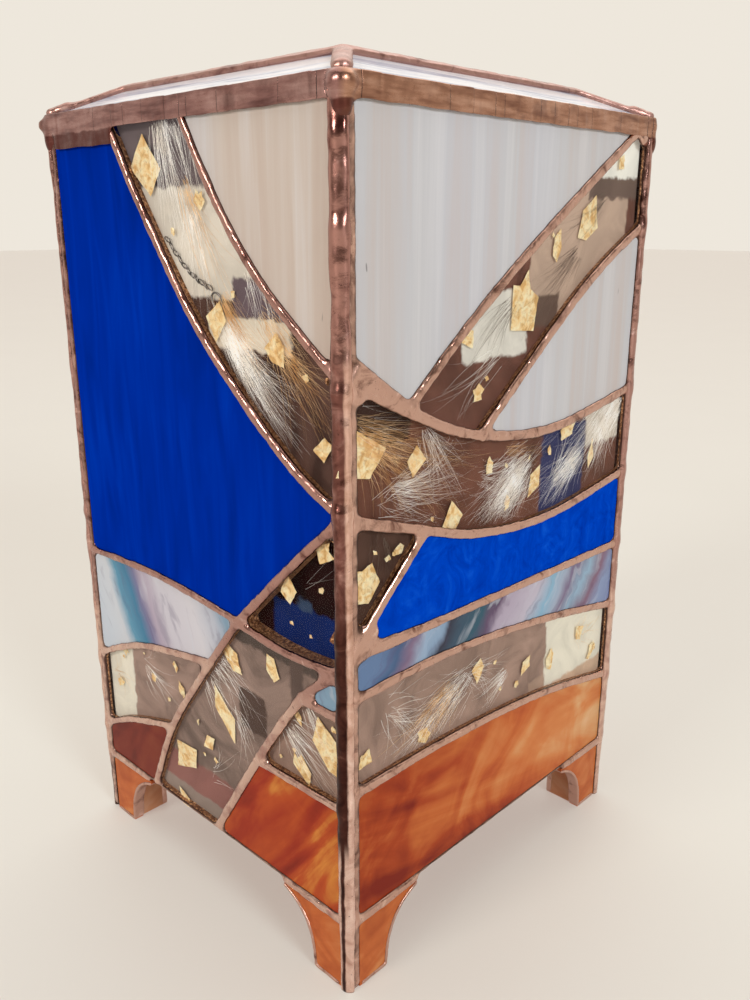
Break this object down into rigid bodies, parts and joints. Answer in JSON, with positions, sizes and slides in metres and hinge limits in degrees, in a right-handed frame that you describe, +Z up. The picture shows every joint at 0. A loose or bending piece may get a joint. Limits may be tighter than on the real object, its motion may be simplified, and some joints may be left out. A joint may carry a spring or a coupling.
{
  "type": "stained glass lantern",
  "caption": "Tall square stained glass lantern on bracket feet, with soldered copper foil seams, clear inlaid ribbons, a rim band and a low hipped glass roof; open underneath.",
  "frame": {"origin": "on the floor, in the middle of the four feet: the bottom centre of the bounding box", "axes": "+Z up along the height; -Y is the front wall, the one with the large cobalt panel; +X is the right-hand wall"},
  "size_m": [0.1162, 0.1222, 0.2229],
  "materials": {
    "copper_solder": "copper-finished solder over foil, softly polished, hand-made ripples",
    "cobalt_glass": "mottled cobalt cathedral glass",
    "white_wispy_glass": "white opal glass with faint streaks",
    "clear_inlay_glass": "two clear panes with fur and gold leaf between them",
    "iridescent_glass": "iridescent wispy glass in blue, teal and mauve",
    "amber_glass": "streaky amber and orange glass"
  },
  "bodies": {
    "root": {"back_amber_arc": "amber_glass", "back_amber_panel": "amber_glass", "back_clear_ribbon": "clear_inlay_glass", "back_clear_strip": "clear_inlay_glass", "back_cobalt_wedge": "cobalt_glass", "back_left_corner_seam": "copper_solder", "back_left_foot_back_pane": "amber_glass", "back_left_foot_inner_panes": "amber_glass", "back_left_foot_left_pane": "amber_glass", "back_right_corner_seam": "copper_solder", "back_right_foot_back_pane": "amber_glass", "back_right_foot_inner_panes": "amber_glass", "back_right_foot_right_pane": "amber_glass", "back_seams": "copper_solder", "back_white_panel": "white_wispy_glass", "back_wispy_strip": "iridescent_glass", "front_amber_corner": "amber_glass", "front_amber_panel": "amber_glass", "front_clear_band": "clear_inlay_glass", "front_clear_ribbon": "clear_inlay_glass", "front_clear_strip": "clear_inlay_glass", "front_clear_triangle": "clear_inlay_glass", "front_clear_wedge": "clear_inlay_glass", "front_cobalt_panel": "cobalt_glass", "front_left_corner_seam": "copper_solder", "front_left_foot_front_pane": "amber_glass", "front_left_foot_inner_panes": "amber_glass", "front_left_foot_left_pane": "amber_glass", "front_right_corner_seam": "copper_solder", "front_right_foot_front_pane": "amber_glass", "front_right_foot_inner_panes": "amber_glass", "front_right_foot_right_pane": "amber_glass", "front_seams": "copper_solder", "front_white_panel": "white_wispy_glass", "front_wispy_piece": "iridescent_glass", "front_wispy_triangle": "iridescent_glass", "left_amber_panel": "amber_glass", "left_clear_ribbon": "clear_inlay_glass", "left_clear_strip": "clear_inlay_glass", "left_cobalt_panel": "cobalt_glass", "left_seams": "copper_solder", "left_white_panel": "white_wispy_glass", "left_wispy_strip": "iridescent_glass", "right_amber_panel": "amber_glass", "right_clear_diagonal": "clear_inlay_glass", "right_clear_ribbon": "clear_inlay_glass", "right_clear_strip": "clear_inlay_glass", "right_clear_wedge": "clear_inlay_glass", "right_cobalt_strip": "cobalt_glass", "right_seams": "copper_solder", "right_white_panel": "white_wispy_glass", "right_white_triangle": "white_wispy_glass", "right_wispy_strip": "iridescent_glass", "rim_band": "copper_solder", "roof_back_strip": "white_wispy_glass", "roof_front_strip": "white_wispy_glass", "roof_left_strip": "white_wispy_glass", "roof_right_strip": "white_wispy_glass", "roof_seams": "copper_solder", "roof_top_pane": "white_wispy_glass"}
  },
  "joints": []
}
